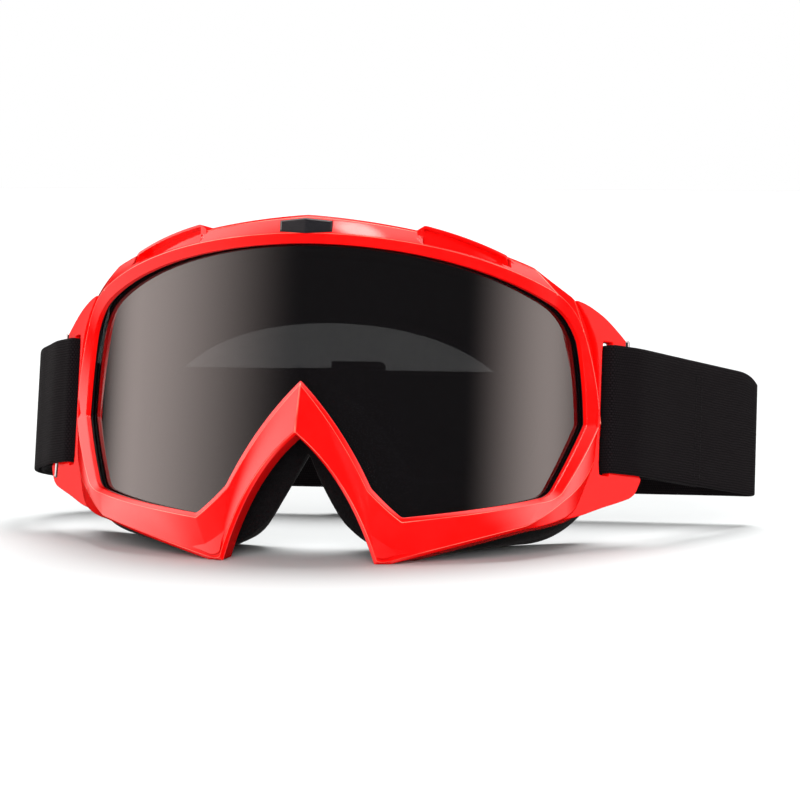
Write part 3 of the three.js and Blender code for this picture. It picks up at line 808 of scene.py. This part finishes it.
SEAL_FRONT, SEAL_BACK, SEAL_OVERLAP = -1.95, -2.4, 0.2
seal_outer = shifted(OPENING, OUTER_EDGE, LENS_MARGIN + SEAL_OVERLAP)
seal_inner = shifted(OPENING, OUTER_EDGE, SEAL_MARGIN)
gasket = loft("lens_seal", [
    wrap_ring(at_n(seal_outer, SEAL_FRONT)), wrap_ring(at_n(seal_outer, SEAL_BACK)),
    wrap_ring(at_n(seal_inner, SEAL_BACK)), wrap_ring(at_n(seal_inner, SEAL_FRONT)),
], radii=[0.1] * 4, arc=2, sharp=60)
finish_piece(gasket, GASKET_BLACK, "goggles", "gasket_black", "lens_gasket")

INNER = dict(clear=3.4, front=-4.4, back=-1.0, reach=11.7, flange=-3.0, flange_thick=1.5)
flange_inner = shifted(OPENING, OUTER_EDGE, INNER["flange"], INNER["back"])
flange_outer = shifted(wall_rear, OPENING, INNER["clear"], INNER["back"])
flange_front = INNER["reach"] - INNER["flange_thick"]
inner_frame = loft("inner_frame_moulding", [
    wrap_ring(shifted(OPENING, OUTER_EDGE, SEAL_MARGIN, INNER["front"])),
    wrap_ring(shifted(OPENING, OUTER_EDGE, 0.4, INNER["back"]), flange_front),
    wrap_ring(flange_inner, flange_front),
    wrap_ring(flange_inner, INNER["reach"]),
    wrap_ring(flange_outer, INNER["reach"]),
    wrap_ring(shifted(OUTER_EDGE, OPENING, INNER["clear"], INNER["front"])),
], radii=[0.4, 1.0, 0.5, 0.5, 0.5, 0.5], sharp=None)
add_weighted_normals(inner_frame)
finish_piece(inner_frame, INNER_BLACK, "goggles", "inner_black", "inner_frame")

# ---- Foam and fleece ----------------------------------------------------------------------
FOAM_NOSE_Y, FOAM_CURVE, FLEECE_THICK = 40.0, 210.0, 1.2
FOAM_FRONT_OUTER = round_corners(soften(half_line((0, 48.3, -1), [
    [(38, 46, -1), (72, 37, -1)],
    [(81, 34, -1), (89, 31, -1)],
    [(100, 20, -1), (103.5, -6, -1)],
    [(99, -25, -1), (87, -38, -1)],
    [(80, -41.5, -1), (71, -43.5, -1)],
    [(50, -49, -1), (30, -51.5, -1)],
    [(19, -50, -1), (11, -41, -1)],
    [(4.5, -32.1, -1), (0, -20.8, -1)],
], STEPS), 6), 0.35)
FOAM_FACE_OUTER = round_corners(soften(half_line((0, 46), [
    [(40, 45), (64, 36)],
    [(76, 30), (81, 20)],
    [(86, 8), (86, -6)],
    [(85, -24), (76, -34)],
    [(71, -41), (63, -43.5)],
    [(47, -45.8), (30, -46.6)],
    [(23, -47), (18, -42)],
    [(9, -26), (0, -10)],
], STEPS), 12), 0.35)
FOAM_FACE_INNER = round_corners(soften(half_line((0, 22.5), [
    [(26, 22.5), (42, 14.5)],
    [(50, 10.5), (55, 5)],
    [(61, -2), (62, -9)],
    [(62, -15), (57, -19.5)],
    [(53, -22.5), (47, -24)],
    [(40, -25.8), (33, -25.8)],
    [(28, -25.8), (25, -22)],
    [(16, -6), (0, 4)],
], STEPS), 12), 0.35)


def face_ring(half, forward):
    ring = []
    for x, z in mirror_loop(half):
        y = FOAM_NOSE_Y + x * x / FOAM_CURVE - forward
        ring.append(Vector((x, y, max(z, table_at(y)))))
    return ring


def between(ring_a, ring_b, t, swell, centre):
    """Ring part-way between two others, pushed away from a centre point of its section."""
    out = []
    for i, (p, q) in enumerate(zip(ring_a, ring_b)):
        m = p.lerp(q, t)
        away = (m - centre[i]).normalized()
        out.append(m + away * swell)
    return out


foam_front = INNER["reach"] + 0.3
ring_front_out = wrap_ring(flange_outer, foam_front)
ring_side_out = wrap_ring(FOAM_FRONT_OUTER, foam_front + 1)
ring_face_out = face_ring(FOAM_FACE_OUTER, FLEECE_THICK + 0.3)
ring_face_in = face_ring(FOAM_FACE_INNER, FLEECE_THICK + 0.3)
ring_front_in = wrap_ring(flange_inner, foam_front)
middle = [
    (a + b + c + d) / 4 for a, b, c, d in zip(ring_side_out, ring_face_out, ring_face_in, ring_front_in)
]
foam = loft("face_foam_body", [
    ring_front_out, ring_side_out,
    between(ring_side_out, ring_face_out, 0.3, 0.5, middle),
    between(ring_side_out, ring_face_out, 0.52, -0.5, middle),
    between(ring_side_out, ring_face_out, 0.75, 0.4, middle),
    ring_face_out, ring_face_in,
    between(ring_face_in, ring_front_in, 0.5, -0.6, middle),
    ring_front_in,
], radii=[0.8, 1.6, 3, 1.2, 3, 2.2, 2.6, 6, 1.0], arc=4, sharp=None)
finish_piece(foam, FOAM, "goggles", "foam_black", "face_foam")

fleece = loft("face_fleece_layer", [
    face_ring(FOAM_FACE_OUTER, FLEECE_THICK), face_ring(FOAM_FACE_INNER, FLEECE_THICK),
    face_ring(FOAM_FACE_INNER, 0), face_ring(FOAM_FACE_OUTER, 0),
], radii=[0.3, 0.3, 0.8, 0.8], arc=4, sharp=None)
finish_piece(fleece, FLEECE, "goggles", "fleece_black", "face_fleece")

for node in ("brow_vent_filter_right", "brow_vent_filter_left"):
    filter_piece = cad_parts[node]
    filter_piece.data.materials.clear()
    filter_piece.data.materials.append(FILTER)

# ---- Strap --------------------------------------------------------------------------------
STRAP_WIDTH, STRAP_THICK, STRAP_MID_Z = 40.0, 1.6, -1.5
STRAP_BACK_Y, SEWN_LENGTH, SLIDER_X = 120.0, 36.0, -7.5
GAP = 0.3
LAYER = STRAP_THICK + GAP
STRAP_INNER_Y = STRAP_BACK_Y - LAYER
RETURN_START_X = -76.0
TURN = STRAP_THICK / 2 + GAP + 0.05


def arm_xy(w, m):
    p = on_arm(w, 0, m)
    return (p.x, p.y)


def round_bar(to_xy, side, first, second, sign):
    """The strap's way round a bar: one side of it at `side`, from height `first` to `second`."""
    diagonal = TURN * math.sqrt(0.5)
    step = 1 if second > first else -1
    return [
        to_xy(side, first - step * TURN),
        to_xy(side + sign * diagonal, first - step * diagonal),
        to_xy(side + sign * TURN, first),
        to_xy(side + sign * TURN, second),
        to_xy(side + sign * diagonal, second + step * diagonal),
        to_xy(side, second + step * TURN),
    ]


around_post = [
    arm_xy(26.5, -5), arm_xy(19, -5.2),
    *round_bar(arm_xy, SLOT["outer"], ARM_FACE - ARM_THICK, ARM_FACE, -1),
    arm_xy(14, 0.6), arm_xy(17.5, 0.95), arm_xy(21.5, 0.95),
]
post_end = Vector(around_post[-1])
RIGHT_FOLD = (124.8, 114.6)
away = (Vector(RIGHT_FOLD) - post_end).normalized()


def beside(distance, layer):
    p = post_end + away * distance + Vector((-away.y, away.x)) * layer
    return (p.x, p.y)


flip = [(-x, y) for x, y in reversed(around_post)]
STRAP_ROUTE = [
    beside(SEWN_LENGTH, LAYER), beside(SEWN_LENGTH / 2, LAYER), beside(12, LAYER + 0.3),
    *around_post,
    beside(SEWN_LENGTH / 2, 0), beside(SEWN_LENGTH, 0), beside(SEWN_LENGTH + 12, 0), RIGHT_FOLD,
    (126.3, 118), (124.6, 120.2), (120, STRAP_BACK_Y), (80, STRAP_BACK_Y), (20, STRAP_BACK_Y),
    (-40, STRAP_BACK_Y), (-78, STRAP_BACK_Y),
    (-92, 117.5), (-104, 107.5), (-109, 92), (-105.5, 78), (-100, 68),
    *flip,
    (-97.3, 68), (-103.5, 79), (-106.9, 92), (-102.4, 106), (-91, 115.6),
    (RETURN_START_X - 3, STRAP_INNER_Y), (RETURN_START_X, STRAP_INNER_Y),
]


def route_points(points, spacing):
    """Points and tangents along a centripetal Catmull-Rom curve, at most `spacing` apart."""
    pts = [Vector((x, y)) for x, y in points]
    pts = [pts[0] * 2 - pts[1]] + pts + [pts[-1] * 2 - pts[-2]]
    out = []
    for i in range(1, len(pts) - 2):
        p0, p1, p2, p3 = pts[i - 1:i + 3]
        d0, d1, d2 = (max((b - a).length ** 0.5, 1e-4) for a, b in ((p0, p1), (p1, p2), (p2, p3)))
        m1 = ((p1 - p0) / d0 - (p2 - p0) / (d0 + d1) + (p2 - p1) / d1) * d1
        m2 = ((p2 - p1) / d1 - (p3 - p1) / (d1 + d2) + (p3 - p2) / d2) * d1
        count = max(4, math.ceil((p2 - p1).length / spacing))
        last = i == len(pts) - 3
        for k in range(count + (1 if last else 0)):
            t = k / count
            h = (
                2 * t ** 3 - 3 * t ** 2 + 1, t ** 3 - 2 * t ** 2 + t,
                -2 * t ** 3 + 3 * t ** 2, t ** 3 - t ** 2,
            )
            g = (6 * t * t - 6 * t, 3 * t * t - 4 * t + 1, -6 * t * t + 6 * t, 3 * t * t - 2 * t)
            point = p1 * h[0] + m1 * h[1] + p2 * h[2] + m2 * h[3]
            tangent = p1 * g[0] + m1 * g[1] + p2 * g[2] + m2 * g[3]
            out.append((point, tangent.normalized()))
    return out


def strap_section():
    """Round-edged section of the webbing: (across its thickness, up its width), with the heights."""
    half_t, half_w = STRAP_THICK / 2, STRAP_WIDTH / 2
    edge = 0.7
    side = []
    rows = 14
    for k in range(rows + 1):
        z = -half_w + edge + (STRAP_WIDTH - 2 * edge) * k / rows
        side.append((half_t * 0.94, z))
    cap = [
        (half_t * 0.94 * math.cos(a), half_w - edge + edge * math.sin(a))
        for a in (math.radians(d) for d in (25, 50, 75, 105, 130, 155))
    ]
    up = side + cap
    return up + [(-x, -z) for x, z in up]


SECTION = strap_section()
CURL_FROM, CURL_TO, CURL_DROP = 121.6, 126.6, 4.4      # where the folded end's upper edge rolls in


def curl(x):
    """How far the webbing's upper edge has rolled down on its way into the right fold."""
    s = min(max((x - CURL_FROM) / (CURL_TO - CURL_FROM), 0.0), 1.0)
    return CURL_DROP * (1 - math.sqrt(1 - s * s))


def ribbon(name, points, spacing=2.0):
    path = route_points(points, spacing)
    verts, uvs = [], []
    run = 0.0
    previous = path[0][0]
    for point, tangent in path:
        run += (point - previous).length
        previous = point
        normal = Vector((-tangent.y, tangent.x))
        for across, up in SECTION:
            p = point - normal * across
            drop = curl(point.x) * max(up, 0.0) / (STRAP_WIDTH / 2)
            verts.append((p.x, p.y, STRAP_MID_Z + up - drop))
            uvs.append((run * MM, up * MM))
    return new_piece(name, verts, bar_faces(len(SECTION), len(path)), uvs, sharp=70)


band = ribbon("elastic_strap", STRAP_ROUTE)
finish_piece(band, WEB, "goggles", "strap_black", "strap_band")

# Two rows of stitches where the strap's right end is sewn down beside its post.
STITCH = dict(length=2.3, pitch=3.1, radius=0.16, rows=(0.0, 3.0), low=-18.0, high=18.0, sides=8, inset=5)


def stitch_rows(name, start, direction, facing):
    """Short thread stitches up the webbing, in rows spaced along it from a start point on its face."""
    points, faces = [], []
    half, sides = STITCH["length"] / 2, STITCH["sides"]
    profile = [(-half, 0.35), (-half * 0.7, 0.85), (0.0, 1.0), (half * 0.7, 0.85), (half, 0.35)]
    for row in STITCH["rows"]:
        z = STITCH["low"]
        while z + STITCH["length"] <= STITCH["high"] + 0.01:
            centre = start + direction * row
            first = len(points)
            for rise, share in profile:
                for k in range(sides):
                    turn = 2 * math.pi * k / sides
                    radius = STITCH["radius"] * share
                    p = centre + direction * (radius * math.cos(turn)) + facing * (radius * math.sin(turn))
                    points.append(Vector((p.x, p.y, STRAP_MID_Z + z + half + rise)))
            for r in range(len(profile) - 1):
                for k in range(sides):
                    a, b = first + r * sides + k, first + r * sides + (k + 1) % sides
                    faces.append((a, b, b + sides, a + sides))
            faces.append(tuple(first + k for k in reversed(range(sides))))
            faces.append(tuple(first + sides * (len(profile) - 1) + k for k in range(sides)))
            z += STITCH["pitch"]
    stitches = new_piece(name, points, faces, sharp=None)
    finish_piece(stitches, THREAD, "goggles", "strap_black")


strap_face = Vector((away.y, -away.x))
right_start = post_end + away * (SEWN_LENGTH - STITCH["inset"]) + strap_face * (STRAP_THICK / 2)
stitch_rows("strap_stitching_right", right_start, away, strap_face)

SLIDER = dict(middle=3.2, thick=2.2, reach=22.0, inner_y=STRAP_INNER_Y - STRAP_THICK / 2 - GAP)
RETURN_END_X = SLIDER_X - SLIDER["reach"]
back_layer = ribbon("elastic_strap_return", [
    (RETURN_START_X, STRAP_INNER_Y), (RETURN_END_X, STRAP_INNER_Y)])
finish_piece(back_layer, WEB, "goggles", "strap_black", "strap_return")
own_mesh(back_layer)

end_loop = ribbon("elastic_strap_end_loop", [
    (RETURN_END_X, STRAP_INNER_Y), (SLIDER_X - 10, STRAP_INNER_Y), (SLIDER_X - 2, STRAP_INNER_Y),
    *round_bar(lambda x, y: (x, y), SLIDER_X + SLIDER["middle"] / 2, SLIDER["inner_y"],
               SLIDER["inner_y"] - SLIDER["thick"], 1),
    (SLIDER_X - 3, SLIDER["inner_y"] - SLIDER["thick"] - TURN),
    (SLIDER_X - 13, STRAP_INNER_Y - LAYER - 0.1), (RETURN_END_X, STRAP_INNER_Y - LAYER - 0.1),
])
finish_piece(end_loop, WEB, "slider", "strap_black", "strap_end_loop")

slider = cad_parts["strap_slider"]
slider.data.materials.clear()
slider.data.materials.append(SLIDER_BLACK)
add_bevel(slider, 0.45, 3, 40)
add_weighted_normals(slider)

# ---- Floor, light and camera --------------------------------------------------------------
FLOOR_HALF = 6.0                    # metres


def add_floor():
    mesh = bpy.data.meshes.new("floor")
    corners = [(x * FLOOR_HALF, y * FLOOR_HALF, 0) for x, y in ((-1, -1), (1, -1), (1, 1), (-1, 1))]
    mesh.from_pydata(corners, [], [(0, 1, 2, 3)])
    floor = bpy.data.objects.new("floor", mesh)
    bpy.context.scene.collection.objects.link(floor)
    m = Material("pale_floor").set(Base_Color=(0.532, 0.542, 0.542, 1), Roughness=0.7, IOR=1.3)
    m.shader.inputs["Specular IOR Level"].default_value = 0.1
    mesh.materials.append(m.material)
    floor.visible_glossy = False


add_floor()


def soft_sun(name, towards, strength, spread):
    """Even soft light from a far, wide source; the boxes of the studio stand for it in reflections."""
    data = bpy.data.lights.new(name, 'SUN')
    data.energy = strength
    data.angle = math.radians(spread)
    obj = bpy.data.objects.new(name, data)
    obj.rotation_euler = (-Vector(towards)).to_track_quat('-Z', 'Y').to_euler()
    bpy.context.scene.collection.objects.link(obj)
    obj.visible_glossy = False


# Two tall soft boxes stand beside the table. Degrees go from the front round to the box's own side: its
# light rises smoothly over the first pair and falls over the second. The right one has the harder edge.
SOFT_BOXES = (
    dict(side=-1, rise=(15, 90), fall=(95, 130), peak=2.25),
    dict(side=1, rise=(55, 95), fall=(95, 125), peak=2.1),
)
BETWEEN_BOXES = 0.03
BOX_TINT = (1.06, 0.9, 0.85)

# Heights below are the upward part of a direction, from -1 to 1.
OVERHEAD, OVERHEAD_FROM, OVERHEAD_FULL = 1.9, 0.74, 0.95
BELOW_TABLE, BELOW_SHARE = -0.35, 0.3           # the boxes fade to this share below the table
AMBIENT_SIDE, AMBIENT_TOP = 0.2, 0.5

# A small lamp high in front: its direction, the angles in degrees where it fades, its brightness.
SPOT_TOWARDS, SPOT_INNER, SPOT_OUTER, SPOT_PEAK = (0.11, -0.432, 0.895), 3.5, 10.0, 6.5


def studio_world():
    """White where the camera sees it; in reflections, two soft boxes and an overhead; for the diffuse
    light, an even dome that is brightest overhead."""
    world = bpy.data.worlds.new("studio")
    bpy.context.scene.world = world
    world.use_nodes = True
    n = Nodes(world.node_tree)
    n.tree.nodes.clear()

    def smooth(value, low_end, high_end, start=0.0, end=1.0):
        node = n.add("ShaderNodeMapRange", interpolation_type='SMOOTHSTEP')
        limits = {"From Min": low_end, "From Max": high_end, "To Min": start, "To Max": end}
        for name, number in limits.items():
            node.inputs[name].default_value = number
        n.link(value, node.inputs["Value"])
        return node.outputs["Result"]

    source = n.add("ShaderNodeTexCoord")
    parts = n.add("ShaderNodeSeparateXYZ")
    n.link(source.outputs["Generated"], parts.inputs["Vector"])
    x, y, z = parts.outputs
    angle = n.math('ARCTAN2', x, n.math('MULTIPLY', y, -1.0))
    low = BETWEEN_BOXES
    for box in SOFT_BOXES:
        away = n.math('MULTIPLY', angle, box["side"])
        rising = smooth(away, *map(math.radians, box["rise"]), 0.0, box["peak"])
        falling = smooth(away, *map(math.radians, box["fall"]), 1.0, 0.0)
        low = n.math('ADD', low, n.math('MULTIPLY', rising, falling))
    fade = smooth(z, OVERHEAD_FROM, OVERHEAD_FULL)
    around = n.math('MULTIPLY', low, n.math('SUBTRACT', 1.0, fade))
    around = n.math('MULTIPLY', around, smooth(z, BELOW_TABLE, 0.0, BELOW_SHARE))
    studio = n.math('ADD', around, n.math('MULTIPLY', fade, OVERHEAD))
    facing = n.add("ShaderNodeVectorMath", operation='DOT_PRODUCT')
    n.link(source.outputs["Generated"], facing.inputs[0])
    facing.inputs[1].default_value = SPOT_TOWARDS
    outer, inner = (math.cos(math.radians(angle)) for angle in (SPOT_OUTER, SPOT_INNER))
    studio = n.math('ADD', studio, smooth(facing.outputs["Value"], outer, inner, 0.0, SPOT_PEAK))
    rise = n.math('MULTIPLY', n.math('MAXIMUM', z, 0.0), AMBIENT_TOP - AMBIENT_SIDE)
    dome = n.math('ADD', AMBIENT_SIDE, rise)

    def background(colour, strength):
        node = n.add("ShaderNodeBackground")
        node.inputs["Color"].default_value = (*colour, 1)
        if hasattr(strength, "links"):
            n.link(strength, node.inputs["Strength"])
        else:
            node.inputs["Strength"].default_value = strength
        return node.outputs["Background"]

    def choose(which, other, this):
        node = n.add("ShaderNodeMixShader")
        n.link(which, node.inputs["Fac"])
        n.link(other, node.inputs[1])
        n.link(this, node.inputs[2])
        return node.outputs["Shader"]

    path = n.add("ShaderNodeLightPath")
    light = choose(path.outputs["Is Glossy Ray"], background((1, 1, 1), dome), background(BOX_TINT, studio))
    seen = choose(path.outputs["Is Camera Ray"], light, background((1, 1, 1), 1.0))
    n.link(seen, n.add("ShaderNodeOutputWorld").inputs["Surface"])


studio_world()
soft_sun("back_top", (0.04, 0.5, 1.0), 5.2, 36)
soft_sun("front", (0.1, -1.0, 0.3), 4.0, 50)
scene = bpy.context.scene
scene.view_settings.view_transform = 'Standard'
scene.view_settings.look = 'None'

VIEW_AZ, VIEW_EL = math.radians(11), math.radians(5)
DISTANCE, ASIDE, BELOW, FOCAL = 900.0, 29.64, 6.51, 135.7
level = math.cos(VIEW_EL)
back = Vector((math.sin(VIEW_AZ) * level, -math.cos(VIEW_AZ) * level, math.sin(VIEW_EL)))
right = Vector((math.cos(VIEW_AZ), math.sin(VIEW_AZ), 0))
up = back.cross(right)
camera_data = bpy.data.cameras.new("camera")
camera = bpy.data.objects.new("camera", camera_data)
scene.collection.objects.link(camera)
camera_data.lens = FOCAL
camera_data.sensor_width = 36
camera_data.clip_end = 50
camera.location = place((0, 0, 0)) + (back * DISTANCE + right * ASIDE - up * BELOW) * MM
camera.rotation_euler = back.to_track_quat('Z', 'Y').to_euler()
scene.camera = camera
